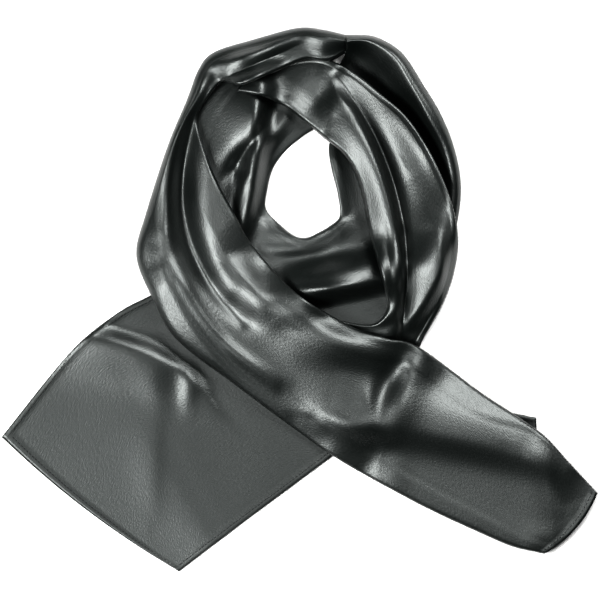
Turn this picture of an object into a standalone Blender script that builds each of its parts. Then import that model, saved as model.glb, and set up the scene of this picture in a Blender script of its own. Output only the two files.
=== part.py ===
"""An evening stole of dark satin, wound twice into a neck loop and laid on a table, with its two ends crossed.

The stole is one long hemmed panel. Here it is cut into the stretches that show, each a thin folded wall:

- the upper turn: the right end, the left side of the loop and the band across its top
- the middle turn: the front band down the loop's right side, and the left end
- the lower turn: the loop's outer right side, its inner foot and its inner left side
- the under layer: the half of the right end that is folded beneath the other half

A stretch is a strip between an inner edge, on the loop's side, and an outer edge. Its edges roll under, its face is
crowned and folded, and it lies on whatever is beneath it. Tables are in millimetres; the model is in metres, +Z up,
and its origin is on the table below the middle of the object.
"""

from collections import namedtuple

import bpy
import numpy as np

MM = 0.001
WALL = 1.2  # thickness of the cloth wall
LAY_GAP = 0.8  # air between a stretch and what it lies on
SEAM_GAP = 1.2  # air between two stretches that meet end to end

# Height map on which the stretches are laid, one upon another.
MAP_CELL = 2.0
MAP_REACH = 330.0
DRAPE_PASSES = 14
DRAPE_BLUR = 2

# in and out are the strip's inner and outer edge. roll is the reach of a rolled edge, out_high the outer one's height,
# and turn the length of cloth in it. crown domes the face, rise lifts it, and steep is how late it climbs outwards.
# rest is how far a section follows what lies beneath, from 0 to 1. bow pushes its middle back along the strip.
Station = namedtuple(
    "Station",
    "in_x in_y out_x out_y in_roll out_roll out_high in_turn out_turn crown rise steep rest bow",
)
# A fold runs from point 0 through the pull of point 1 to point 2. Its flanks fall away over left and right, as seen
# looking along it, and a negative rise is a trough. power shapes the flanks: 2 is a round bell and 1 a sharp crease.
Fold = namedtuple("Fold", "x0 y0 x1 y1 x2 y2 rise left right power")
# A stretch that shows: its stations, and the steps along it, round each roll and across its face.
Stretch = namedtuple("Stretch", "name first last along round face")

# Right end, up the left side of the loop, across its top.
UPPER_TURN = [
    Station(297, -193, 244, -253, 1, 2, 4, 2, 14, 1, 4, 1, 1, 7),
    Station(268, -162, 213, -246, 1, 2.5, 5, 2, 18, 2, 3, 1, 1, 4),
    Station(238, -131, 182, -233, 1.6, 3, 6, 5, 22, 3, 1.5, 1, 1, 2),
    Station(181, -93, 128, -208, 2.5, 3, 6, 24, 24, 3, 1, 1, 1, 0),
    Station(118, -47, 68, -176, 3, 3, 6, 26, 26, 5, 0, 1, 1, 0),
    Station(85, -38, 34, -156, 3, 3, 6, 28, 28, 9, 0, 1, 1, 0),
    Station(50, -26, 8, -138, 3, 3, 6, 30, 30, 11, 0, 1, 1, 0),
    Station(-5, 8, -60, -88, 2.5, 4, 14, 34, 36, 7, 0, 1, 1, 0),
    Station(-48, 55, -124, -38, 2.5, 7, 25, 34, 48, 5, 0, 1, 1, 0),
    Station(-65, 85, -148, 4, 2.5, 8, 26, 34, 50, 6, 0, 1, 1, 0),
    Station(-80, 113, -163, 45, 2.5, 8, 23, 34, 48, 5, 1, 1, 1, 0),
    Station(-92, 140, -153, 88, 2.5, 9, 18, 22, 34, 3, 2, 1, 1, 0),
    Station(-103, 180, -131, 155, 4, 9, 18, 14, 30, 2, 3, 1, 1, 0),
    Station(-91, 203, -112, 201, 4, 7, 14, 12, 20, 2, 4, 1, 1, 0),
    Station(-78, 218, -101, 230, 3, 7, 14, 12, 22, 2, 4, 1, 1, 0),
    Station(-57, 214, -86, 247, 2.5, 8, 16, 14, 24, 2, 3, 1, 1, 0),
    Station(-27, 226, -45, 260, 2, 8, 16, 12, 24, 2, 5, 1, 1, 0),
    Station(5, 240, -3, 271, 2, 8, 16, 10, 24, 1, 7, 1, 0.8, 0),
    Station(28, 238, 23, 269, 2.5, 7, 18, 10, 24, 1, 10, 1, 0.4, 0),
    Station(46, 247, 45, 264, 3, 6, 18, 12, 20, 0, 12, 1, 0, 0),
]

# Down the loop's right side, under the crossing, to the left end, which lies open as a single layer.
MIDDLE_TURN = [
    Station(-64, 208, -38, 234, 2, 1.2, 2.4, 12, 2, 0, 3, 1, 1, 0),
    Station(-38, 203, -12, 238, 2, 1.2, 2.4, 16, 2, 1, 5, 1, 1, 0),
    Station(-15, 193, 22, 241, 2, 1.2, 2.4, 24, 2, 2, 10, 1, 1, 0),
    Station(5, 178, 54, 226, 2, 1.2, 2.4, 30, 2, 2, 14, 1, 1, 0),
    Station(25, 161, 80, 205, 2, 1.2, 2.4, 34, 2, 2, 15, 1, 1, 0),
    Station(43, 146, 105, 183, 2, 1.2, 2.4, 40, 2, 2, 15, 1, 1, 0),
    Station(55, 127, 126, 153, 2, 1.2, 2.4, 40, 2, 2, 14, 1, 1, 0),
    Station(62, 105, 142, 120, 2, 1.2, 2.4, 40, 2, 2, 13, 1, 1, 0),
    Station(67, 80, 153, 87, 2, 1.2, 2.4, 40, 2, 2, 13, 1, 1, 0),
    Station(72, 57, 157, 56, 2, 1.2, 2.4, 40, 2, 2, 12, 1, 1, 0),
    Station(78, 35, 153, 27, 2, 1.2, 2.4, 36, 2, 2, 12, 1, 1, 0),
    Station(84, 12, 144, 0, 2, 1.2, 2.4, 30, 2, 2, 11, 1, 1, 0),
    Station(87, -8, 131, -25, 2, 1.2, 2.4, 24, 2, 2, 9, 1, 1, 0),
    Station(74, -24, 119, -48, 2, 1.2, 2.4, 20, 2, 1, 4, 1, 1, 0),
    Station(46, -22, 111, -82, 2, 1.2, 2.4, 18, 2, 1, 0, 1, 1, 0),
    Station(18, -12, 93, -107, 2, 1.2, 2.4, 16, 2, 1, 0, 1, 1, 0),
    Station(-14, 3, 64, -132, 1.5, 1.2, 2.4, 12, 2, 0, 0, 1, 1, 0),
    Station(-92, 25, 0, -180, 1.2, 1, 2, 4, 2, 0, 0, 1, 1, 0),
    Station(-160, -1, -54, -220, 1, 1, 2, 2, 2, -3, 0, 1, 1, 0),
    Station(-192, -20, -75, -236, 1, 1, 2, 2, 2, -3, 0, 1, 1, -1),
    Station(-220, -43, -91, -248, 1, 1, 2, 2, 2, -3, 0, 1, 1, -3),
    Station(-248, -74, -104, -258, 1, 1, 2, 2, 2, -3, 0, 1, 1, -5),
    Station(-298, -137, -121, -271, 1, 1, 2, 2, 2, -3, 0, 1, 1, -7),
]

# Down the loop's outer right side, round its foot and up its inner left side, on the table all the way.
LOWER_TURN = [
    Station(47.2, 246, 46.2, 264.2, 3, 6, 18, 12, 20, 0, 12, 1, 1, 0),
    Station(37, 226, 74, 262, 2, 6, 36, 12, 34, 0, 1, 2, 1, 0),
    Station(36, 197, 101, 246, 1.5, 7, 44, 10, 46, 0, 0, 2.4, 1, 0),
    Station(32, 168, 122, 215, 1.5, 9, 44, 10, 52, 0, 0, 4, 1, 0),
    Station(29, 150, 140, 185, 1.5, 12, 42, 10, 54, 0, 0, 9, 1, 0),
    Station(32, 130, 153, 153, 1.5, 9, 34, 10, 50, 0, 0, 12, 1, 0),
    Station(38, 106, 160, 118, 1.5, 7, 26, 10, 46, 0, 0, 7, 1, 0),
    Station(40, 84, 158, 85, 1.5, 7, 22, 10, 42, 0, 0, 5, 1, 0),
    Station(30, 74, 148, 45, 1.5, 6, 18, 10, 36, 1, 0, 4, 1, 0),
    Station(18, 67, 122, -5, 1.5, 5, 12, 10, 32, 1, 0, 2, 1, 0),
    Station(7, 62, 80, -40, 1.5, 5, 10, 10, 30, 1, 0, 1, 1, 0),
    Station(-4, 63, 25, -45, 1.5, 5, 10, 10, 30, 1, 0, 1, 1, 0),
    Station(-17, 72, -22, -22, 1.5, 4, 8, 10, 30, 2, 0, 1, 1, 0),
    Station(-34, 90, -70, 20, 1.5, 4, 8, 10, 30, 3, 0, 1, 1, 0),
    Station(-33, 110, -104, 75, 1.5, 5, 10, 10, 30, 5, 0, 1, 1, 0),
    Station(-27, 132, -116, 128, 1.5, 5, 10, 10, 30, 6, 0, 1, 1, 0),
    Station(-14, 150, -110, 170, 1.5, 5, 8, 10, 28, 3, 0, 1, 1, 0),
    Station(3, 164, -92, 205, 1.5, 4, 6, 10, 26, 2, 0, 1, 1, 0),
    Station(16, 172, -60, 232, 1.5, 4, 6, 10, 22, 1, 0, 1, 1, 0),
]

# The half of the right end that is folded beneath the other half; its corner looks out at the loop's side.
UNDER_LAYER = [
    Station(236, -118, 241, -246, 0.7, 0.7, 1.4, 2, 2, -3, 0, 1, 1, 0),
    Station(209, -113, 208, -238, 0.7, 0.7, 1.4, 2, 2, -3, 0, 1, 1, 0),
    Station(178, -110, 174, -224, 0.7, 0.7, 1.4, 2, 2, -3, 0, 1, 1, 0),
    Station(146, -104, 138, -207, 0.7, 0.7, 1.4, 2, 2, -3, 0, 1, 1, 0),
    Station(118, -92, 88, -176, 0.7, 0.7, 1.4, 2, 2, -3, 0, 1, 1, 0),
]

UPPER_FOLDS = [
    Fold(-95, 200, -84, 125, -72, 15, 7, 14, 20, 2),
    Fold(-104, 182, -146, 62, -58, -20, -18, 11, 8, 1.5),
    Fold(-125, 190, -138, 110, -134, 20, 7, 9, 15, 2),
    Fold(-62, 50, -52, 12, -30, -20, 5, 12, 12, 2),
    Fold(-132, 66, -117, -19, -26, -84, 5, 5, 7, 2),
    Fold(-68, -46, -40, -68, -16, -82, 3, 7, 7, 2),
    Fold(-142, 47, -111, -52, -16, -115, 4, 5, 8, 2),
    Fold(-25, 0, 25, -45, 120, -62, 6, 10, 18, 2),
    Fold(-52, -6, 2, -80, 78, -86, 2, 11, 34, 2),
    Fold(14, -114, 48, -126, 88, -132, 5, 10, 14, 2),
    Fold(110, -50, 84, -72, 82, -122, -5, 11, 12, 2),
    Fold(126, -54, 102, -88, 86, -130, 5, 25, 14, 2),
    Fold(70, -85, 66, -100, 70, -118, 2, 7, 8, 2),
    Fold(30, -116, 150, -128, 262, -166, 10, 33, 17, 2),
    Fold(-84, 234, -50, 242, -8, 258, 5, 5, 7, 2),
    Fold(-82, 218, -48, 232, -2, 254, -4, 4, 5, 1),
    Fold(-62, 214, -32, 228, 5, 244, 4, 6, 5, 2),
    Fold(-66, 222, -63, 213, -58, 202, 4, 4, 8, 2),
    Fold(222, -150, 248, -160, 264, -204, 5, 26, 9, 2),
]
MIDDLE_FOLDS = [
    Fold(38, 222, 100, 140, 105, 50, -14, 10, 6, 1.3),
    Fold(105, 68, 108, 15, 100, -44, -13, 8, 5, 1.1),
    Fold(50, 190, 95, 116, 101, 10, 16, 5, 22, 2),
    Fold(112, 124, 134, 90, 138, -10, 4, 14, 26, 2),
    Fold(134, 70, 144, 30, 136, -14, 6, 8, 20, 2),
    Fold(84, 75, 88, 45, 92, 10, -3, 4, 4, 1.5),
    Fold(0, 182, 18, 202, 40, 220, -3, 12, 12, 2),
    Fold(98, 0, 90, -32, 22, -16, 4, 6, 6, 2),
    Fold(-264, -36, -160, -30, -98, -92, 11, 9, 33, 2),
    Fold(-190, -22, -176, -34, -130, -30, -3, 6, 6, 2),
    Fold(-126, -62, -126, -85, -122, -102, -1.5, 11, 11, 2),
    Fold(-112, -60, -108, -90, -116, -114, 2, 10, 8, 2),
    Fold(-143, -100, -146, -150, -148, -215, 2, 10, 26, 2),
]
LOWER_FOLDS = [
    Fold(-10, 4, 34, 16, 100, 26, 27, 25, 12, 3),
    Fold(-12, 8, 30, 12, 62, 14, 5, 4, 4, 2),
    Fold(-35, 52, -5, 46, 25, 55, 3, 5, 5, 2),
    Fold(-42, 228, -43, 180, -52, 128, 19, 10, 30, 2),
    Fold(-30, 196, -38, 160, -76, 122, -12, 12, 7, 1.3),
    Fold(-42, 148, -27, 158, -14, 188, 6, 9, 7, 2),
    Fold(-34, 196, -42, 130, -60, 66, 16, 9, 13, 2),
    Fold(-58, 146, -66, 118, -66, 76, -8, 9, 8, 2),
    Fold(29, 162, 34, 118, 36, 76, 8, 13, 4, 2),
    Fold(-30, 74, 2, 48, 40, 76, 8, 4, 16, 2),
]

UPPER_STRETCHES = [
    Stretch("right_end", 0, 6, 22, 2, 16),
    Stretch("left_rise", 6, 12, 20, 3, 16),
    Stretch("top_band", 12, 19, 16, 3, 10),
]
MIDDLE_STRETCHES = [
    Stretch("right_band", 0, 13, 28, 2, 16),
    Stretch("left_end", 13, 22, 18, 1, 14),
]
LOWER_STRETCHES = [
    Stretch("outer_right", 0, 8, 14, 5, 12),
    Stretch("inner_foot", 8, 13, 12, 2, 12),
    Stretch("inner_left", 13, 18, 12, 2, 12),
]
UNDER_STRETCHES = [Stretch("right_end_under_layer", 0, 4, 6, 1, 8)]


def clear_scene():
    for existing in list(bpy.data.objects):
        bpy.data.objects.remove(existing)


def through(rows, at):
    """A smooth curve through the rows: the cubic between two rows takes its slopes from the rows on either side."""
    rows = np.asarray(rows, float)
    slope = np.gradient(rows, axis=0)
    row = np.clip(np.floor(at).astype(int), 0, len(rows) - 2)
    t = (at - row)[:, None]
    start = (1 + 2 * t) * (1 - t) ** 2 * rows[row] + t * (1 - t) ** 2 * slope[row]
    end = t**2 * (3 - 2 * t) * rows[row + 1] + t**2 * (t - 1) * slope[row + 1]
    return start + end


def spaced(stations, stretch):
    """Row numbers evenly spaced along the middle of a stretch."""
    fine = np.linspace(stretch.first, stretch.last, 40 * (stretch.last - stretch.first) + 1)
    rows = through(stations, fine)
    middle = (rows[:, 0:2] + rows[:, 2:4]) / 2
    length = np.append(0, np.cumsum(np.linalg.norm(np.diff(middle, axis=0), axis=1)))
    return np.interp(np.linspace(0, length[-1], stretch.along + 1), length, fine)


def rolled(roll, high, turn, steps_round):
    """A rolled edge: half an ellipse, roll deep and high tall, then straight back under, turn long in all.

    Returns how far each point lies in from the edge, and its height over the lowest, from the face to the tip.
    """
    bend = np.minimum(0.8 * turn, np.pi * roll)
    round_share = np.linspace(0, 1, steps_round + 1)[1:]
    run = np.concatenate([bend[:, None] * round_share, turn[:, None]], axis=1)
    angle = np.minimum(run / roll[:, None], np.pi)
    inward = roll[:, None] * (1 - np.sin(angle)) + np.maximum(run - np.pi * roll[:, None], 0)
    height = high[:, None] / 2 * (1 + np.cos(angle))
    return inward, height


def fold_height(x, y, folds):
    """The sum of the folds at each place: a bell across each fold's line, fading in and out along it."""
    total = np.zeros_like(x)
    for fold in folds:
        t = np.linspace(0, 1, 65)
        line_x = (1 - t) ** 2 * fold.x0 + 2 * t * (1 - t) * fold.x1 + t**2 * fold.x2
        line_y = (1 - t) ** 2 * fold.y0 + 2 * t * (1 - t) * fold.y1 + t**2 * fold.y2
        away_x = x[..., None] - line_x
        away_y = y[..., None] - line_y
        nearest = np.argmin(away_x**2 + away_y**2, axis=-1)
        away_x = np.take_along_axis(away_x, nearest[..., None], -1)[..., 0]
        away_y = np.take_along_axis(away_y, nearest[..., None], -1)[..., 0]
        ahead_x, ahead_y = np.gradient(line_x)[nearest], np.gradient(line_y)[nearest]
        between = (away_x * ahead_x + away_y * ahead_y) / (ahead_x**2 + ahead_y**2)
        between = np.clip(between, -0.5 * (nearest > 0), 0.5 * (nearest < 64))
        away_x = away_x - between * ahead_x
        away_y = away_y - between * ahead_y
        side = (ahead_x * away_y - ahead_y * away_x) / np.hypot(ahead_x, ahead_y)
        width = fold.left + (fold.right - fold.left) * 0.5 * (1 - np.tanh(side / 1.5))
        bell = np.exp(-((np.hypot(away_x, away_y) / width) ** fold.power))
        total += fold.rise * bell * np.sin(np.pi * (0.1 + 0.8 * (nearest + between) / 64))
    return total


def surface(stations, folds, stretch, lay_map):
    """The middle of the cloth as a grid of points, a row for each step along it and a column for each across it.

    A section's face runs from roll to roll at the height of the rolls, plus its crown, rise and folds, and stays
    clear of the cloth turned under it. Everything stands on the height map of what lies beneath.
    """
    rows = Station(*through(stations, spaced(stations, stretch)).T)
    inner = np.stack([rows.in_x, rows.in_y], axis=1)
    outer = np.stack([rows.out_x, rows.out_y], axis=1)
    width = np.linalg.norm(outer - inner, axis=1)[:, None]
    across = (outer - inner) / width

    share = np.linspace(0, 1, stretch.face + 1)
    climb = share ** rows.steep[:, None]
    climb = climb * climb * (3 - 2 * climb)
    in_high, out_high = 2 * rows.in_roll[:, None], rows.out_high[:, None]
    face_in = rows.in_roll[:, None] + (width - in_high / 2 - out_high / 2) * share
    face_up = in_high * (1 - climb) + out_high * climb + rows.crown[:, None] * np.sin(np.pi * share)
    in_in, in_up = rolled(rows.in_roll, 2 * rows.in_roll, rows.in_turn, stretch.round)
    out_in, out_up = rolled(rows.out_roll, rows.out_high, rows.out_turn, stretch.round)

    inward = np.concatenate([in_in[:, ::-1], face_in, width - out_in], axis=1)
    height = np.concatenate([in_up[:, ::-1], face_up, out_up], axis=1)
    lifted = np.concatenate([(in_up / in_high)[:, ::-1], np.ones_like(face_up), out_up / out_high], axis=1)
    bowed = rows.bow[:, None] * 4 * (inward / width) * (1 - inward / width)
    x = inner[:, None, 0] + across[:, None, 0] * inward - across[:, None, 1] * bowed
    y = inner[:, None, 1] + across[:, None, 1] * inward + across[:, None, 0] * bowed

    in_reach = in_in.max(axis=1)[:, None] + 4
    out_reach = out_in.max(axis=1)[:, None] + 4
    over_turn = np.maximum(in_reach - inward, out_reach - (width - inward)) / 6
    lowest = 2.2 * WALL * lifted * np.clip(over_turn, 0, 1)
    raised = height + (rows.rise[:, None] + fold_height(x, y, folds)) * lifted - lowest
    base = read_map(lay_map, x, y) * rows.rest[:, None]
    return np.stack([x, y, base + lowest + np.maximum(raised, 0) + WALL / 2], axis=2)


def empty_map():
    cells = int(2 * MAP_REACH / MAP_CELL)
    return np.zeros((cells, cells))


def finer(points, times):
    """A grid of points with each cell divided times by times."""
    for axis in (0, 1):
        count = points.shape[axis]
        at = np.linspace(0, count - 1, (count - 1) * times + 1)
        low = np.minimum(at.astype(int), count - 2)
        share = (at - low).reshape((-1, 1, 1) if axis == 0 else (1, -1, 1))
        points = np.take(points, low, axis) * (1 - share) + np.take(points, low + 1, axis) * share
    return points


def draw_on_map(height_map, points):
    """Raises the height map to the top of a surface."""
    points = finer(points, 18)
    column = ((points[..., 0] + MAP_REACH) / MAP_CELL).astype(int).ravel()
    row = ((points[..., 1] + MAP_REACH) / MAP_CELL).astype(int).ravel()
    np.maximum.at(height_map, (row, column), points[..., 2].ravel() + WALL / 2)


def neighbours(height_map, reach, combine):
    """Each cell combined with those up to reach away, first along rows and then along columns."""
    for axis in (0, 1):
        shifted = [np.roll(height_map, step, axis) for step in range(-reach, reach + 1)]
        height_map = combine(shifted, axis=0)
    return height_map


def draped(height_map):
    """What limp cloth laid over the height map follows: never below it, and sloping down beside each step."""
    held = neighbours(height_map, 1, np.max)
    sheet = held
    for _ in range(DRAPE_PASSES):
        sheet = np.maximum(held, neighbours(sheet, DRAPE_BLUR, np.mean))
    sheet = np.maximum(held, neighbours(sheet, 1, np.mean))
    return sheet + LAY_GAP * np.clip(sheet, 0, 1)


def read_map(height_map, x, y):
    """The height map between the middles of its cells."""
    column = np.clip((x + MAP_REACH) / MAP_CELL - 0.5, 0, height_map.shape[1] - 1.001)
    row = np.clip((y + MAP_REACH) / MAP_CELL - 0.5, 0, height_map.shape[0] - 1.001)
    c, r = column.astype(int), row.astype(int)
    u, v = column - c, row - r
    low = height_map[r, c] * (1 - u) + height_map[r, c + 1] * u
    high = height_map[r + 1, c] * (1 - u) + height_map[r + 1, c + 1] * u
    return low * (1 - v) + high * v


def cleared(points, height_map):
    """The surface with its corners lifted wherever a flat facet between them would cut into what lies beneath."""
    held = neighbours(height_map, 1, np.max)
    times = 8
    for _ in range(3):
        fine = finer(points, times)
        beneath = read_map(held, fine[..., 0], fine[..., 1])
        short = np.where(beneath > 0.05, beneath + LAY_GAP - (fine[..., 2] - WALL / 2), 0)
        lift = np.zeros(points.shape[:2])
        rows, columns = points.shape[0] - 1, points.shape[1] - 1
        for down in range(times + 1):
            for along in range(times + 1):
                cell = short[down : down + rows * times : times, along : along + columns * times : times]
                for i, j in ((0, 0), (0, 1), (1, 0), (1, 1)):
                    corner = lift[i : i + rows, j : j + columns]
                    np.maximum(corner, cell, out=corner)
        points = points + np.stack([np.zeros_like(lift), np.zeros_like(lift), lift], axis=2)
    return points


def satin(name, color):
    """Dark satin: a smooth woven face with a soft gloss."""
    material = bpy.data.materials.new(name)
    material.use_nodes = True
    shader = material.node_tree.nodes["Principled BSDF"]
    shader.inputs["Base Color"].default_value = (*color, 1.0)
    shader.inputs["Roughness"].default_value = 0.42
    shader.inputs["Metallic"].default_value = 0.0
    material.diffuse_color = (*color, 1.0)
    return material


def drawn_in(points):
    """The surface with both ends drawn in by half a seam gap."""
    for end, next_row in ((0, 1), (-1, -2)):
        step = points[next_row] - points[end]
        points[end] += step * np.minimum(1, SEAM_GAP / 2 / np.linalg.norm(step, axis=1))[:, None]
    return points


def wall(name, points, material):
    """A closed wall of cloth round a grid of points."""
    rows, columns = points.shape[:2]
    corner = np.arange(rows * columns).reshape(rows, columns)
    faces = np.stack([corner[:-1, :-1], corner[:-1, 1:], corner[1:, 1:], corner[1:, :-1]], axis=2)
    mesh = bpy.data.meshes.new(name)
    mesh.from_pydata((points.reshape(-1, 3) * MM).tolist(), [], faces.reshape(-1, 4).tolist())
    mesh.materials.append(material)
    mesh.shade_smooth()
    cloth = bpy.data.objects.new(name, mesh)
    bpy.context.scene.collection.objects.link(cloth)
    thickness = cloth.modifiers.new("Cloth wall", "SOLIDIFY")
    thickness.thickness = WALL * MM
    thickness.offset = 0.0


def lay(stations, folds, stretches, beneath, material):
    """Makes the stretches of one turn on what lies beneath it, and returns their surfaces."""
    lay_map = draped(beneath)
    laid = [cleared(surface(stations, folds, stretch, lay_map), beneath) for stretch in stretches]
    for stretch, points in zip(stretches, laid):
        wall(stretch.name, drawn_in(points), material)
    return laid


def build():
    clear_scene()
    charcoal = satin("charcoal satin", (0.055, 0.058, 0.058))
    table = empty_map()
    lower = lay(LOWER_TURN, LOWER_FOLDS, LOWER_STRETCHES, table, charcoal)
    under = lay(UNDER_LAYER, [], UNDER_STRETCHES, table, charcoal)

    lower_map = empty_map()
    for points in lower:
        draw_on_map(lower_map, points)
    middle = lay(MIDDLE_TURN, MIDDLE_FOLDS, MIDDLE_STRETCHES, lower_map, charcoal)

    beneath = empty_map()
    for points in lower[1:] + under + middle:
        draw_on_map(beneath, points)
    lay(UPPER_TURN, UPPER_FOLDS, UPPER_STRETCHES, beneath, charcoal)


build()
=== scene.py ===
import math

import bpy
import numpy as np
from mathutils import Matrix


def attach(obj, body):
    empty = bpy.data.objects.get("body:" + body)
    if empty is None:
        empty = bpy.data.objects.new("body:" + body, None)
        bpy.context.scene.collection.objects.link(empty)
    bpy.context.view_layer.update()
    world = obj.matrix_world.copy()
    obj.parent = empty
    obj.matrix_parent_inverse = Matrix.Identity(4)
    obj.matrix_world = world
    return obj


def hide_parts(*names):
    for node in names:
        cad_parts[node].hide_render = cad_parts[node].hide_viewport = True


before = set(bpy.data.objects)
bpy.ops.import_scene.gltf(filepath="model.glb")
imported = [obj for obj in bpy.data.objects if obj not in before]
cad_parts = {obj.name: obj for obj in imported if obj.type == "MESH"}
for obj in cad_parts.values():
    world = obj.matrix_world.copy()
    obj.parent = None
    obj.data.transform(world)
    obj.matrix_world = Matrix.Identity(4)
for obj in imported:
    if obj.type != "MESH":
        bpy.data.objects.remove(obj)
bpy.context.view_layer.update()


# The studio. The stole lies on a plain white table and is seen from straight above, as in the photograph. A
# large softbox stands at its left and a weaker one at its upper right. A third, high overhead, gives level
# cloth its grey, and the room adds a little even light.

MM = 0.001
CAMERA_HEIGHT = 5.0
FRAME_WIDTH = 0.6
SENSOR_WIDTH = 36
TABLE_WHITE = "#d8d8d7"
TABLE_ROUGHNESS = 0.9
TABLE_REACH = 4
ROOM_LIGHT = 0.04


def linear(colour):
    """An sRGB hex colour as linear red, green, blue and alpha.

    Each share c becomes ((c + 0.055) / 1.055) to the 2.4, or c / 12.92 up to 0.04045.
    """
    parts = [int(colour[at : at + 2], 16) / 255 for at in (1, 3, 5)]
    return (*[c / 12.92 if c <= 0.04045 else ((c + 0.055) / 1.055) ** 2.4 for c in parts], 1.0)


def node(tree, kind, settings=(), links=()):
    """Adds a node of this kind, sets its sockets or properties by name, and links outputs into it."""
    made = tree.nodes.new(kind)
    for name, value in dict(settings).items():
        sockets = [socket for socket in made.inputs if socket.identifier == name]
        if sockets:
            sockets[0].default_value = value
        else:
            setattr(made, name, value)
    for name, output in dict(links).items():
        tree.links.new(output, [socket for socket in made.inputs if socket.identifier == name][0])
    return made


studio = bpy.context.scene
studio.view_settings.view_transform = "Standard"
studio.view_settings.look = "High Contrast"

camera = bpy.data.objects.new("camera", bpy.data.cameras.new("camera"))
camera.data.sensor_width = SENSOR_WIDTH
camera.data.lens = SENSOR_WIDTH * CAMERA_HEIGHT / FRAME_WIDTH
camera.data.clip_end = 4 * CAMERA_HEIGHT
camera.location = (0, 0, CAMERA_HEIGHT)
studio.collection.objects.link(camera)
studio.camera = camera


def softbox(name, place, size, power):
    """A square lamp at place, tipped by place's angle to the vertical, to face the middle of the table."""
    lamp = bpy.data.objects.new(name, bpy.data.lights.new(name, "AREA"))
    lamp.data.size = size
    lamp.data.energy = power
    lamp.location = place
    lamp.rotation_euler = (0, math.acos(place[2] / np.linalg.norm(place)), math.atan2(place[1], place[0]))
    studio.collection.objects.link(lamp)


softbox("left softbox", place=(-1.24, -0.46, 1.6), size=1.0, power=78)
softbox("right softbox", place=(0.85, 1.15, 1.6), size=1.0, power=60)
softbox("ceiling softbox", place=(0, 0.001, 6.0), size=1.6, power=42)

room = bpy.data.worlds.new("room")
room.use_nodes = True
room.node_tree.nodes["Background"].inputs["Color"].default_value = (1, 1, 1, 1)
room.node_tree.nodes["Background"].inputs["Strength"].default_value = ROOM_LIGHT
studio.world = room

floor_mesh = bpy.data.meshes.new("table top")
floor_corners = [(TABLE_REACH * x, TABLE_REACH * y, 0) for x, y in ((-1, -1), (1, -1), (1, 1), (-1, 1))]
floor_mesh.from_pydata(floor_corners, [], [(0, 1, 2, 3)])
floor = bpy.data.objects.new("table_top", floor_mesh)
studio.collection.objects.link(floor)
table_paint = bpy.data.materials.new("matt white table")
table_paint.use_nodes = True
table_shader = table_paint.node_tree.nodes["Principled BSDF"]
table_shader.inputs["Base Color"].default_value = linear(TABLE_WHITE)
table_shader.inputs["Roughness"].default_value = TABLE_ROUGHNESS
floor_mesh.materials.append(table_paint)


# The lower turn of the stole: down the loop's outer right side, round its foot and up its inner left side,
# lying on the table. It is the middle of the one long satin panel, folded lengthways by its own gathers.
# Nothing fixes it. Sizes are in millimetres.

CLOTH = 0.8  # thickness of the cloth, thicker than real satin so that an edge shows
LAY_GAP = 0.9  # air between a turn and what it lies on
HEM = 5.0
HEM_STEP = 0.8  # how far the hem stands above the single cloth
HEM_SLOPE = 1.2  # over which that step rises
TURN_CLEAR = 4  # a face is held up this far past its turned-under edges
TURN_FADE = 6  # and comes down over this width
FACE_FLOOR = 1.2  # softens a fold that would sink into the cloth beneath it
FOLD_STEPS = 64  # points looked at along each fold
FOLD_BLEND = 1.5  # from its left width to its right one
STATION_STEPS = 60  # points worked out between two sections
STEP_ALONG = 2.4  # size of the mesh's faces along a turn
STEP_ACROSS = 2.0  # and across it
STEPS_ROUND = 7  # faces round each rolled edge

# The height map of what a turn lies on: square cells, from -MAP_REACH to MAP_REACH both ways.
MAP_CELL = 1.0
MAP_REACH = 330.0
MAP_CELLS = int(2 * MAP_REACH / MAP_CELL)
DRAPE_BLUR = 4
DRAPE_SLACK = 0.6  # how far the smoothed sheet may lie below a top


def through(rows, at):
    """The cubic between each two rows, with its slopes taken from the rows on either side."""
    rows = np.asarray(rows, float)
    slope = np.gradient(rows, axis=0)
    row = np.clip(np.floor(at).astype(int), 0, len(rows) - 2)
    t = (at - row)[:, None]
    start = (1 + 2 * t) * (1 - t) ** 2 * rows[row] + t * (1 - t) ** 2 * slope[row]
    end = t**2 * (3 - 2 * t) * rows[row + 1] + t**2 * (t - 1) * slope[row + 1]
    return start + end


def rolled_edge(roll, high, turn, steps):
    """Depth and height along turn of cloth: half an ellipse, roll deep and high tall, then straight back."""
    bend = np.minimum(0.8 * turn, np.pi * roll)
    run = bend * np.linspace(0, 1, steps + 1)[1:]
    run = np.concatenate([run, bend + (turn - bend) * np.linspace(0, 1, 5)[1:]], axis=1)
    angle = np.minimum(run / roll, np.pi)
    return roll * (1 - np.sin(angle)) + np.maximum(run - np.pi * roll, 0), high / 2 * (1 + np.cos(angle))


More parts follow.
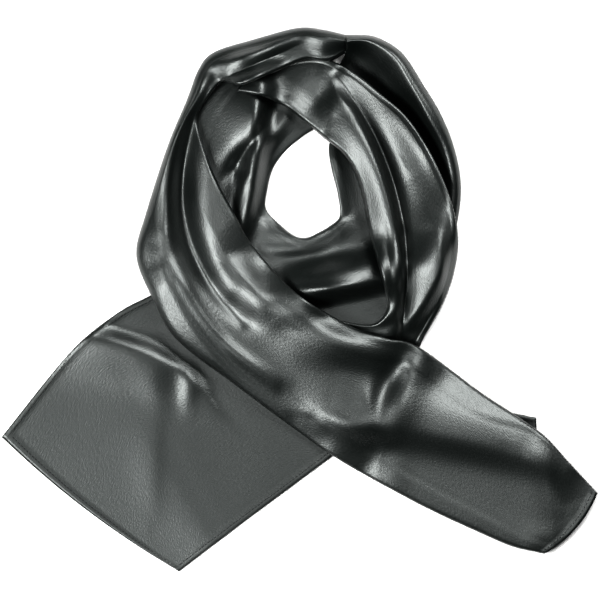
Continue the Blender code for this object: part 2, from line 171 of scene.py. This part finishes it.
def fold_height(x, y, folds):
    """The sum of the folds, each fading at both ends of its curve.

    Across it a fold is rise times e to the -(distance / width) to the power: 2 is a round bell and 1 a sharp
    crease. Along its quadratic curve it is the sine of 0.1 to 0.9 of half a turn.
    """
    total = np.zeros_like(x)
    for x0, y0, x1, y1, x2, y2, rise, left, right, power in folds:
        reach = 5 ** (1 / power) * max(left, right)
        near = (x > min(x0, x1, x2) - reach) & (x < max(x0, x1, x2) + reach)
        near &= (y > min(y0, y1, y2) - reach) & (y < max(y0, y1, y2) + reach)
        t = np.linspace(0, 1, FOLD_STEPS + 1)
        line_x = (1 - t) ** 2 * x0 + 2 * t * (1 - t) * x1 + t**2 * x2
        line_y = (1 - t) ** 2 * y0 + 2 * t * (1 - t) * y1 + t**2 * y2
        away_x, away_y = x[near][:, None] - line_x, y[near][:, None] - line_y
        nearest = np.argmin(away_x**2 + away_y**2, axis=1)
        every = np.arange(len(nearest))
        away_x, away_y = away_x[every, nearest], away_y[every, nearest]
        ahead_x, ahead_y = np.gradient(line_x)[nearest], np.gradient(line_y)[nearest]
        between = (away_x * ahead_x + away_y * ahead_y) / (ahead_x**2 + ahead_y**2)
        between = np.clip(between, -0.5 * (nearest > 0), 0.5 * (nearest < FOLD_STEPS))
        away_x, away_y = away_x - between * ahead_x, away_y - between * ahead_y
        side = (ahead_x * away_y - ahead_y * away_x) / np.hypot(ahead_x, ahead_y)
        width = left + (right - left) * 0.5 * (1 - np.tanh(side / FOLD_BLEND))
        bell = np.exp(-((np.hypot(away_x, away_y) / width) ** power))
        total[near] += rise * bell * np.sin(np.pi * (0.1 + 0.8 * (nearest + between) / FOLD_STEPS))
    return total


def read_map(height_map, x, y):
    """The height map between the middles of its cells, linear both ways."""
    column = np.clip((x + MAP_REACH) / MAP_CELL - 0.5, 0, height_map.shape[1] - 1.001)
    row = np.clip((y + MAP_REACH) / MAP_CELL - 0.5, 0, height_map.shape[0] - 1.001)
    c, r = column.astype(int), row.astype(int)
    u, v = column - c, row - r
    low = height_map[r, c] * (1 - u) + height_map[r, c + 1] * u
    high = height_map[r + 1, c] * (1 - u) + height_map[r + 1, c + 1] * u
    return low * (1 - v) + high * v


def neighbours(height_map, reach, combine):
    """Each cell combined with those up to reach away, along rows and then along columns."""
    for axis in (0, 1):
        height_map = combine([np.roll(height_map, step, axis) for step in range(-reach, reach + 1)], axis=0)
    return height_map


def draped(height_map, passes, ease):
    """What limp cloth laid over the height map follows: it slopes down beside each step, and is smooth.

    Each pass averages the sheet with its neighbours and holds it above the map. The last smoothing cuts the
    tops off, so what it falls short by, spread to twice ease around and smoothed, is added.
    """
    held = neighbours(height_map, 2, np.max)
    sheet = held
    for _ in range(passes):
        sheet = np.maximum(held, neighbours(sheet, DRAPE_BLUR, np.mean))
    for _ in range(3):
        sheet = neighbours(sheet, ease, np.mean)
    short = neighbours(np.maximum(held - sheet - DRAPE_SLACK, 0), 2 * ease, np.max)
    return sheet + neighbours(short, ease, np.mean) + LAY_GAP * np.clip(sheet, 0, 1)


def strip(stations, folds, lay_map, start_hem=0, end_hem=0):
    """A strip of cloth as a grid of points, how far along and across it each is, and its turned-under widths.

    A section runs from a rolled inner edge, over a face at the rolls' heights plus crown, rise and folds, to
    a rolled outer edge. It stands on the height map and stays clear of its own turned-under edges. An edge
    that is turned under by less than a hem is the panel's own edge, and stands a step higher over the hem's
    width, as a hemmed end does.
    """
    fine = np.linspace(0, len(stations) - 1, STATION_STEPS * (len(stations) - 1) + 1)
    rows = through(stations, fine)
    middle = (rows[:, 0:2] + rows[:, 2:4]) / 2
    length = np.append(0, np.cumsum(np.linalg.norm(np.diff(middle, axis=0), axis=1)))
    steps = int(length[-1] / STEP_ALONG)
    columns = through(stations, np.interp(np.linspace(0, length[-1], steps + 1), length, fine)).T[:, :, None]
    in_x, in_y, out_x, out_y, in_roll, out_roll, out_high, in_turn, out_turn = columns[:9]
    crown, rise, steep, rest, bow = columns[9:]

    width = np.hypot(out_x - in_x, out_y - in_y)
    across_x, across_y = (out_x - in_x) / width, (out_y - in_y) / width
    share = np.linspace(0, 1, int(width.mean() / STEP_ACROSS) + 1)
    climb = share**steep
    climb = climb * climb * (3 - 2 * climb)
    face_in = in_roll + (width - in_roll - out_roll) * share
    face_up = 2 * in_roll * (1 - climb) + out_high * climb + crown * np.sin(np.pi * share)
    in_in, in_up = rolled_edge(in_roll, 2 * in_roll, in_turn, STEPS_ROUND)
    out_in, out_up = rolled_edge(out_roll, out_high, out_turn, STEPS_ROUND)
    inward = np.concatenate([in_in[:, ::-1], face_in, width - out_in], axis=1)
    height = np.concatenate([in_up[:, ::-1], face_up, out_up], axis=1)
    in_lifted, out_lifted = in_up / (2 * in_roll), out_up / out_high
    lifted = np.concatenate([in_lifted[:, ::-1], np.ones_like(face_up), out_lifted], axis=1)
    bowed = bow * 4 * (inward / width) * (1 - inward / width)
    x = in_x + across_x * inward - across_y * bowed
    y = in_y + across_y * inward + across_x * bowed

    over_in_turn = in_in.max(axis=1)[:, None] + TURN_CLEAR - inward
    over_out_turn = out_in.max(axis=1)[:, None] + TURN_CLEAR - width + inward
    lowest = 2.4 * CLOTH * lifted * np.clip(np.maximum(over_in_turn, over_out_turn) / TURN_FADE, 0, 1)
    raised = height + (rise + fold_height(x, y, folds)) * lifted - lowest
    raised = 0.5 * (raised + np.sqrt(raised**2 + (FACE_FLOOR * lifted) ** 2))
    for _ in range(2):
        raised[:, 1:-1] = (raised[:, :-2] + 2 * raised[:, 1:-1] + raised[:, 2:]) / 4
        raised[1:-1] = (raised[:-2] + 2 * raised[1:-1] + raised[2:]) / 4
    run_along = np.broadcast_to(np.linspace(0, length[-1], steps + 1)[:, None], x.shape)
    in_hem = np.clip((HEM - in_turn) / 2, 0, 1) * np.clip((HEM - inward) / HEM_SLOPE + 0.5, 0, 1)
    out_hem = np.clip((HEM - out_turn) / 2, 0, 1) * np.clip((HEM - width + inward) / HEM_SLOPE + 0.5, 0, 1)
    first_hem = start_hem * np.clip((HEM - run_along) / HEM_SLOPE + 0.5, 0, 1)
    last_hem = end_hem * np.clip((HEM - length[-1] + run_along) / HEM_SLOPE + 0.5, 0, 1)
    hem = HEM_STEP * lifted * np.maximum(np.maximum(in_hem, out_hem), np.maximum(first_hem, last_hem))
    z = read_map(lay_map, x, y) * rest + lowest + raised + hem + CLOTH / 2
    points = np.stack([x, y, z], axis=2)
    run_across = np.cumsum(np.linalg.norm(np.diff(points, axis=1), axis=2), axis=1)
    run_across = np.append(np.zeros((len(x), 1)), run_across, axis=1)
    return points, run_along, run_across, in_turn[:, 0], out_turn[:, 0]


def top_of(*strips):
    """The height map of the highest cloth over each cell, at the strips' points and midway between them."""
    height_map = np.zeros((MAP_CELLS, MAP_CELLS))
    for points in strips:
        for axis in (0, 1):
            count = points.shape[axis]
            between = np.take(points, range(1, count), axis) + np.take(points, range(count - 1), axis)
            points = np.concatenate([points, between / 2], axis)
        column = ((points[..., 0] + MAP_REACH) / MAP_CELL).astype(int).ravel()
        row = ((points[..., 1] + MAP_REACH) / MAP_CELL).astype(int).ravel()
        np.maximum.at(height_map, (row, column), points[..., 2].ravel() + CLOTH / 2)
    return neighbours(height_map, 1, np.max)


def cloth_piece(name, laid, material):
    """A mesh on the strip's grid, with its place on the panel as UV map, made a closed wall by Solidify."""
    points, run_along, run_across = laid[:3]
    rows, columns = points.shape[:2]
    corner = np.arange(rows * columns).reshape(rows, columns)
    faces = np.stack([corner[:-1, :-1], corner[:-1, 1:], corner[1:, 1:], corner[1:, :-1]], axis=2)
    faces = faces.reshape(-1, 4)
    mesh = bpy.data.meshes.new(name)
    mesh.from_pydata((points.reshape(-1, 3) * MM).tolist(), [], faces.tolist())
    place = np.stack([run_along, run_across], axis=2).reshape(-1, 2) * MM
    mesh.uv_layers.new(name="panel").data.foreach_set("uv", place[faces.ravel()].ravel())
    mesh.shade_smooth()
    mesh.materials.append(material)
    piece = bpy.data.objects.new(name, mesh)
    studio.collection.objects.link(piece)
    wall = piece.modifiers.new("cloth", "SOLIDIFY")
    wall.thickness = CLOTH * MM
    wall.offset = 0
    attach(piece, "root")
    return piece


# Polyester satin, woven with long floats that lie along the panel. It gives a dark, smooth ground with
# soft, broad highlights that spread across the floats, and a fine grain where threads catch the light. Real
# floats are about 1 mm by 0.1 mm, too fine to show, so the grain is drawn 3 mm by 1.2 mm.
SATIN_GROUND = "#101413"
THREAD_DARK = "#060807"
SATIN_GLOSS = "#f5faf8"
FLOATS_PER_METRE = (330, 800, 1)
FLOAT_RELIEF = 0.3 * MM
SATIN_ROUGHNESS = 0.39
SATIN_IOR = 1.6
SHEEN_STRETCH = 0.25
SHEEN_TURN = 0.25  # a quarter turn, so that it spreads across the floats

satin = bpy.data.materials.new("charcoal polyester satin, woven")
satin.use_nodes = True
tree = satin.node_tree
shader = tree.nodes["Principled BSDF"]
place = node(tree, "ShaderNodeUVMap", {"uv_map": "panel"})
floats = node(tree, "ShaderNodeMapping", {"Scale": FLOATS_PER_METRE}, {"Vector": place.outputs["UV"]})
float_noise = node(
    tree, "ShaderNodeTexNoise", {"Scale": 1.0, "Detail": 2.0}, {"Vector": floats.outputs["Vector"]}
)
ground = node(
    tree,
    "ShaderNodeMix",
    {"data_type": "RGBA", "A_Color": linear(THREAD_DARK), "B_Color": linear(SATIN_GROUND)},
    {"Factor_Float": float_noise.outputs["Fac"]},
)
tree.links.new(ground.outputs[2], shader.inputs["Base Color"])
relief = node(
    tree,
    "ShaderNodeBump",
    {"Strength": 0.8, "Distance": FLOAT_RELIEF},
    {"Height": float_noise.outputs["Fac"]},
)
tree.links.new(relief.outputs["Normal"], shader.inputs["Normal"])
tangent = node(tree, "ShaderNodeTangent", {"direction_type": "UV_MAP", "uv_map": "panel"})
tree.links.new(tangent.outputs["Tangent"], shader.inputs["Tangent"])
shader.inputs["Roughness"].default_value = SATIN_ROUGHNESS
shader.inputs["IOR"].default_value = SATIN_IOR
shader.inputs["Specular Tint"].default_value = linear(SATIN_GLOSS)
shader.inputs["Anisotropic"].default_value = SHEEN_STRETCH
shader.inputs["Anisotropic Rotation"].default_value = SHEEN_TURN

# A row is a section of the turn. in and out are its inner and outer edge, roll the depth of a rolled edge,
# out_high the outer one's height and turn the length of cloth in it. crown domes the face, rise lifts it,
# and steep is how late it climbs outwards. rest is how far it follows what lies beneath, and bow bends its
# middle.
#    in_x, in_y, out_x, out_y, in_roll, out_roll, out_high, in_turn, out_turn, crown, rise, steep, rest, bow
LOWER_STATIONS = [
    (46, 247, 45, 264, 3, 6, 18, 12, 20, 0, 12, 1, 1, 0),
    (37, 226, 74, 262, 2, 6, 36, 12, 34, 0, 1, 2, 1, 0),
    (36, 197, 101, 246, 1.5, 7, 44, 10, 46, 0, 0, 2.4, 1, 0),
    (32, 168, 122, 215, 1.5, 9, 44, 10, 52, 0, 0, 4, 1, 0),
    (29, 150, 140, 185, 1.5, 12, 42, 10, 54, 0, 0, 9, 1, 0),
    (32, 130, 153, 153, 1.5, 9, 34, 10, 50, 0, 0, 12, 1, 0),
    (38, 106, 160, 118, 1.5, 7, 26, 10, 46, 0, 0, 7, 1, 0),
    (40, 84, 158, 85, 1.5, 7, 22, 10, 42, 0, 0, 5, 1, 0),
    (30, 74, 148, 45, 1.5, 6, 18, 10, 36, 1, 0, 4, 1, 0),
    (18, 67, 122, -5, 1.5, 5, 12, 10, 32, 1, 0, 2, 1, 0),
    (7, 62, 80, -40, 1.5, 5, 10, 10, 30, 1, 0, 1, 1, 0),
    (-4, 63, 25, -45, 1.5, 5, 10, 10, 30, 1, 0, 1, 1, 0),
    (-17, 72, -22, -22, 1.5, 4, 8, 10, 30, 2, 0, 1, 1, 0),
    (-34, 90, -70, 20, 1.5, 4, 8, 10, 30, 3, 0, 1, 1, 0),
    (-33, 110, -104, 75, 1.5, 5, 10, 10, 30, 5, 0, 1, 1, 0),
    (-27, 132, -116, 128, 1.5, 5, 10, 10, 30, 6, 0, 1, 1, 0),
    (-14, 150, -110, 170, 1.5, 5, 8, 10, 28, 3, 0, 1, 1, 0),
    (3, 164, -92, 205, 1.5, 4, 6, 10, 26, 2, 0, 1, 1, 0),
    (16, 172, -60, 232, 1.5, 4, 6, 10, 22, 1, 0, 1, 1, 0),
]
# A fold runs from point 0 through the pull of point 1 to point 2, with a width on its left and on its
# right, as seen looking along it. A negative rise is a trough.
#    x0, y0, x1, y1, x2, y2, rise, left, right, power
LOWER_FOLDS = [
    (-10, 4, 34, 16, 100, 26, 27, 25, 12, 3),
    (-12, 8, 30, 12, 62, 14, 5, 4, 4, 2),
    (-35, 52, -5, 46, 25, 55, 3, 5, 5, 2),
    (-42, 228, -43, 180, -52, 128, 19, 10, 30, 2),
    (-30, 196, -38, 160, -76, 122, -12, 12, 7, 1.3),
    (-42, 148, -27, 158, -14, 188, 6, 9, 7, 2),
    (-34, 196, -42, 130, -60, 66, 16, 9, 13, 2),
    (-58, 146, -66, 118, -66, 76, -8, 9, 8, 2),
    (29, 162, 34, 118, 36, 76, 8, 13, 4, 2),
    (-30, 74, 2, 48, 40, 76, 8, 4, 16, 2),
]

bare_table = np.zeros((MAP_CELLS, MAP_CELLS))
lower = strip(LOWER_STATIONS, LOWER_FOLDS, bare_table)
lower_turn = cloth_piece("lower_turn", lower, satin)
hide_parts("outer_right", "inner_foot", "inner_left")


# The under layer of the right end: the lower half of the lengthways fold, a single flat thickness of the
# satin on the table. Only its hemmed corner looks out beside the right end.

UNDER_STATIONS = [
    (236, -118, 241, -246, 0.7, 0.7, 1.4, 2, 2, -3, 0, 1, 1, 0),
    (209, -113, 208, -238, 0.7, 0.7, 1.4, 2, 2, -3, 0, 1, 1, 0),
    (178, -110, 174, -224, 0.7, 0.7, 1.4, 2, 2, -3, 0, 1, 1, 0),
    (146, -104, 138, -207, 0.7, 0.7, 1.4, 2, 2, -3, 0, 1, 1, 0),
    (118, -92, 88, -176, 0.7, 0.7, 1.4, 2, 2, -3, 0, 1, 1, 0),
]
under = strip(UNDER_STATIONS, [], bare_table, start_hem=1)
under_layer = cloth_piece("right_end_under_layer_cloth", under, satin)
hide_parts("right_end_under_layer")


# The middle turn: out from under the top band, down the loop's right side as the front band, under the
# crossing and out to the left end, which lies open as one thickness of satin with its hems showing.

MIDDLE_STATIONS = [
    (-64, 208, -38, 234, 2, 1.2, 2.4, 12, 2, 0, 3, 1, 1, 0),
    (-38, 203, -12, 238, 2, 1.2, 2.4, 16, 2, 1, 5, 1, 1, 0),
    (-15, 193, 22, 241, 2, 1.2, 2.4, 24, 2, 2, 10, 1, 1, 0),
    (5, 178, 54, 226, 2, 1.2, 2.4, 30, 2, 2, 14, 1, 1, 0),
    (25, 161, 80, 205, 2, 1.2, 2.4, 34, 2, 2, 15, 1, 1, 0),
    (43, 146, 105, 183, 2, 1.2, 2.4, 40, 2, 2, 15, 1, 1, 0),
    (55, 127, 126, 153, 2, 1.2, 2.4, 40, 2, 2, 14, 1, 1, 0),
    (62, 105, 142, 120, 2, 1.2, 2.4, 40, 2, 2, 13, 1, 1, 0),
    (67, 80, 153, 87, 2, 1.2, 2.4, 40, 2, 2, 13, 1, 1, 0),
    (72, 57, 157, 56, 2, 1.2, 2.4, 40, 2, 2, 12, 1, 1, 0),
    (78, 35, 153, 27, 2, 1.2, 2.4, 36, 2, 2, 12, 1, 1, 0),
    (84, 12, 144, 0, 2, 1.2, 2.4, 30, 2, 2, 11, 1, 1, 0),
    (87, -8, 131, -25, 2, 1.2, 2.4, 24, 2, 2, 9, 1, 1, 0),
    (74, -24, 119, -48, 2, 1.2, 2.4, 20, 2, 1, 4, 1, 1, 0),
    (46, -22, 111, -82, 2, 1.2, 2.4, 18, 2, 1, 0, 1, 1, 0),
    (18, -12, 93, -107, 2, 1.2, 2.4, 16, 2, 1, 0, 1, 1, 0),
    (-14, 3, 64, -132, 1.5, 1.2, 2.4, 12, 2, 0, 0, 1, 1, 0),
    (-92, 25, 0, -180, 1.2, 1, 2, 4, 2, 0, 0, 1, 1, 0),
    (-160, -1, -54, -220, 1, 1, 2, 2, 2, -3, 0, 1, 1, 0),
    (-192, -20, -75, -236, 1, 1, 2, 2, 2, -3, 0, 1, 1, -1),
    (-220, -43, -91, -248, 1, 1, 2, 2, 2, -3, 0, 1, 1, -3),
    (-248, -74, -104, -258, 1, 1, 2, 2, 2, -3, 0, 1, 1, -5),
    (-298, -137, -121, -271, 1, 1, 2, 2, 2, -3, 0, 1, 1, -7),
]
MIDDLE_FOLDS = [
    (38, 222, 100, 140, 105, 50, -14, 10, 6, 1.3),
    (105, 68, 108, 15, 100, -44, -13, 8, 5, 1.1),
    (50, 190, 95, 116, 101, 10, 16, 5, 22, 2),
    (112, 124, 134, 90, 138, -10, 4, 14, 26, 2),
    (134, 70, 144, 30, 136, -14, 6, 8, 20, 2),
    (84, 75, 88, 45, 92, 10, -3, 4, 4, 1.5),
    (0, 182, 18, 202, 40, 220, -3, 12, 12, 2),
    (98, 0, 90, -32, 22, -16, 4, 6, 6, 2),
    (-264, -36, -160, -30, -98, -92, 11, 9, 33, 2),
    (-190, -22, -176, -34, -130, -30, -3, 6, 6, 2),
    (-126, -62, -126, -85, -122, -102, -1.5, 11, 11, 2),
    (-112, -60, -108, -90, -116, -114, 2, 10, 8, 2),
    (-143, -100, -146, -150, -148, -215, 2, 10, 26, 2),
]
middle_rest = draped(top_of(lower[0]), passes=10, ease=2)
middle = strip(MIDDLE_STATIONS, MIDDLE_FOLDS, middle_rest, end_hem=1)
middle_turn = cloth_piece("middle_turn", middle, satin)
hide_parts("right_band", "left_end")


# The upper turn: the right end, folded lengthways, then up over the crossing and the loop's left side and
# across its top. It is the same satin, and lies over everything else. Where it meets the lower turn at the
# top, the two run on from one another, so it doesn't rest on that turn's first stretch.

UPPER_STATIONS = [
    (297, -193, 244, -253, 1, 2, 4, 2, 14, 1, 4, 1, 1, 7),
    (268, -162, 213, -246, 1, 2.5, 5, 2, 18, 2, 3, 1, 1, 4),
    (238, -131, 182, -233, 1.6, 3, 6, 5, 22, 3, 1.5, 1, 1, 2),
    (181, -93, 128, -208, 2.5, 3, 6, 24, 24, 3, 1, 1, 1, 0),
    (118, -47, 68, -176, 3, 3, 6, 26, 26, 5, 0, 1, 1, 0),
    (85, -38, 34, -156, 3, 3, 6, 28, 28, 9, 0, 1, 1, 0),
    (50, -26, 8, -138, 3, 3, 6, 30, 30, 11, 0, 1, 1, 0),
    (-5, 8, -60, -88, 2.5, 4, 14, 34, 36, 7, 0, 1, 1, 0),
    (-48, 55, -124, -38, 2.5, 7, 25, 34, 48, 5, 0, 1, 1, 0),
    (-65, 85, -148, 4, 2.5, 8, 26, 34, 50, 6, 0, 1, 1, 0),
    (-80, 113, -163, 45, 2.5, 8, 23, 34, 48, 5, 1, 1, 1, 0),
    (-92, 140, -153, 88, 2.5, 9, 18, 22, 34, 3, 2, 1, 1, 0),
    (-103, 180, -131, 155, 4, 9, 18, 14, 30, 2, 3, 1, 1, 0),
    (-91, 203, -112, 201, 4, 7, 14, 12, 20, 2, 4, 1, 1, 0),
    (-78, 218, -101, 230, 3, 7, 14, 12, 22, 2, 4, 1, 1, 0),
    (-57, 214, -86, 247, 2.5, 8, 16, 14, 24, 2, 3, 1, 1, 0),
    (-27, 226, -45, 260, 2, 8, 16, 12, 24, 2, 5, 1, 1, 0),
    (5, 240, -3, 271, 2, 8, 16, 10, 24, 1, 7, 1, 0.8, 0),
    (28, 238, 23, 269, 2.5, 7, 18, 10, 24, 1, 10, 1, 0.4, 0),
    (46, 247, 45, 264, 3, 6, 18, 12, 20, 0, 12, 1, 0, 0),
]
UPPER_FOLDS = [
    (-95, 200, -84, 125, -72, 15, 7, 14, 20, 2),
    (-104, 182, -146, 62, -58, -20, -18, 11, 8, 1.5),
    (-125, 190, -138, 110, -134, 20, 7, 9, 15, 2),
    (-62, 50, -52, 12, -30, -20, 5, 12, 12, 2),
    (-132, 66, -117, -19, -26, -84, 5, 5, 7, 2),
    (-68, -46, -40, -68, -16, -82, 3, 7, 7, 2),
    (-142, 47, -111, -52, -16, -115, 4, 5, 8, 2),
    (-25, 0, 25, -45, 120, -62, 6, 10, 18, 2),
    (-52, -6, 2, -80, 78, -86, 2, 11, 34, 2),
    (14, -114, 48, -126, 88, -132, 5, 10, 14, 2),
    (110, -50, 84, -72, 82, -122, -5, 11, 12, 2),
    (126, -54, 102, -88, 86, -130, 5, 25, 14, 2),
    (70, -85, 66, -100, 70, -118, 2, 7, 8, 2),
    (30, -116, 150, -128, 262, -166, 10, 33, 17, 2),
    (-84, 234, -50, 242, -8, 258, 5, 5, 7, 2),
    (-82, 218, -48, 232, -2, 254, -4, 4, 5, 1),
    (-62, 214, -32, 228, 5, 244, 4, 6, 5, 2),
    (-66, 222, -63, 213, -58, 202, 4, 4, 8, 2),
    (222, -150, 248, -160, 264, -204, 5, 26, 9, 2),
]
SEAM_STRETCH = 120  # of the lower turn, which runs on from the upper one

lower_past_seam = lower[0][lower[1][:, 0] > SEAM_STRETCH]
upper_rest = draped(top_of(lower_past_seam, under[0], middle[0]), passes=20, ease=7)
upper = strip(UPPER_STATIONS, UPPER_FOLDS, upper_rest, start_hem=1)
upper_turn = cloth_piece("upper_turn", upper, satin)
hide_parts("right_end", "left_rise", "top_band")


# The hems' stitching: one row of straight machine stitches in polyester thread, just inside the hem's inner
# edge, along every edge of the panel that shows. Each stitch is drawn about 1 mm wide, twice its real size,
# so that it shows.
STITCH_LENGTH = 2.7
STITCH_PITCH = 3.9
STITCH_WIDTH = 0.95
STITCH_INSET = 4.6
STITCH_RISE = 0.4  # of a stitch's middle above the cloth
STITCH_DIP = 0.1  # of its ends into the cloth
STITCH_EDGE_DIP = 0.15  # and of its sides


def upright(points):
    """The direction square to the grid at each point: the cross product of its two runs, pointing up."""
    square = np.cross(np.gradient(points, axis=0), np.gradient(points, axis=1))
    square /= np.linalg.norm(square, axis=2, keepdims=True)
    return square * np.sign(square[..., 2:3])


def long_line(laid, first, last, from_inner):
    """A line of points along the strip between two shares of its length, inset from one of its long edges."""
    points, run_along, run_across, in_turn, out_turn = laid
    at = in_turn + STITCH_INSET if from_inner else run_across[:, -1] - out_turn - STITCH_INSET
    before = (run_across < at[:, None]).sum(axis=1) - 1
    every = np.arange(len(points))
    run_before, run_after = run_across[every, before], run_across[every, before + 1]
    part = ((at - run_before) / (run_after - run_before))[:, None]
    line = points[every, before] * (1 - part) + points[every, before + 1] * part
    keep = slice(int(first * len(points)), int(last * len(points)))
    return line[keep], upright(points)[every, before][keep]


def end_line(laid, at_end):
    """A line of points across the strip, inset from its first or its last row and from both of its edges."""
    points, run_along, run_across, in_turn, out_turn = laid
    at = run_along[-1, 0] - STITCH_INSET if at_end else STITCH_INSET
    row = np.argmin(np.abs(run_along[:, 0] - at))
    run = run_across[row]
    keep = (run > in_turn[row] + STITCH_INSET) & (run < run[-1] - out_turn[row] - STITCH_INSET)
    return points[row][keep], upright(points)[row][keep]


def along_line(line, run, at):
    """The values of the line at these lengths of its run, linear between its points."""
    return np.stack([np.interp(at, run, line[:, axis]) for axis in range(3)], axis=1)


def stitched(name, material, *lines):
    """A mesh of stitches: a low three-sided bar for each pitch of each line, its ends dipping into the cloth.

    A bar has four rings of three corners, and a ring has one corner at either side and one on top.
    """
    corners = []
    for line, square in lines:
        run = np.append(0, np.cumsum(np.linalg.norm(np.diff(line, axis=0), axis=1)))
        start = np.arange(0.5, run[-1] - STITCH_LENGTH, STITCH_PITCH)
        for share, lift in ((0, -STITCH_DIP), (0.25, STITCH_RISE), (0.75, STITCH_RISE), (1, -STITCH_DIP)):
            at = start + share * STITCH_LENGTH
            centre = along_line(line, run, at)
            up = along_line(square, run, at)
            side = np.cross(up, along_line(line, run, at + 1) - centre)
            side *= STITCH_WIDTH / 2 / np.linalg.norm(side, axis=1, keepdims=True)
            surface = centre + up * (CLOTH / 2)
            edge = surface - up * STITCH_EDGE_DIP
            corners.append(np.stack([edge - side, surface + up * lift, edge + side], axis=1))
    rings = [np.concatenate(corners[ring::4]) for ring in range(4)]
    points = np.stack(rings, axis=1).reshape(-1, 3)
    base = 12 * np.arange(len(points) // 12)[:, None]
    sides = [(r + c, r + 3 + c, r + 3 + (c + 1) % 3, r + (c + 1) % 3) for r in (0, 3, 6) for c in range(3)]
    faces = [tuple(face) for quad in sides for face in (base + np.array(quad)).tolist()]
    faces += [tuple(face) for end in ((2, 1, 0), (9, 10, 11)) for face in (base + np.array(end)).tolist()]
    mesh = bpy.data.meshes.new(name)
    mesh.from_pydata((points * MM).tolist(), [], faces)
    mesh.materials.append(material)
    piece = bpy.data.objects.new(name, mesh)
    studio.collection.objects.link(piece)
    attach(piece, "root")
    return piece


# Spun polyester sewing thread, black and matt, so the stitches show as small dark dashes on the gloss.
THREAD_BLACK = "#040505"
THREAD_ROUGHNESS = 0.9

thread = bpy.data.materials.new("black polyester sewing thread, twisted")
thread.use_nodes = True
thread_shader = thread.node_tree.nodes["Principled BSDF"]
thread_shader.inputs["Base Color"].default_value = linear(THREAD_BLACK)
thread_shader.inputs["Roughness"].default_value = THREAD_ROUGHNESS

stitched(
    "middle_turn_stitches",
    thread,
    long_line(middle, first=0.62, last=0.99, from_inner=True),
    long_line(middle, first=0.12, last=0.99, from_inner=False),
    end_line(middle, at_end=True),
)
stitched(
    "upper_turn_stitches",
    thread,
    long_line(upper, first=0.012, last=0.12, from_inner=True),
    end_line(upper, at_end=False),
)
stitched("under_layer_stitches", thread, long_line(under, first=0.03, last=0.98, from_inner=True))
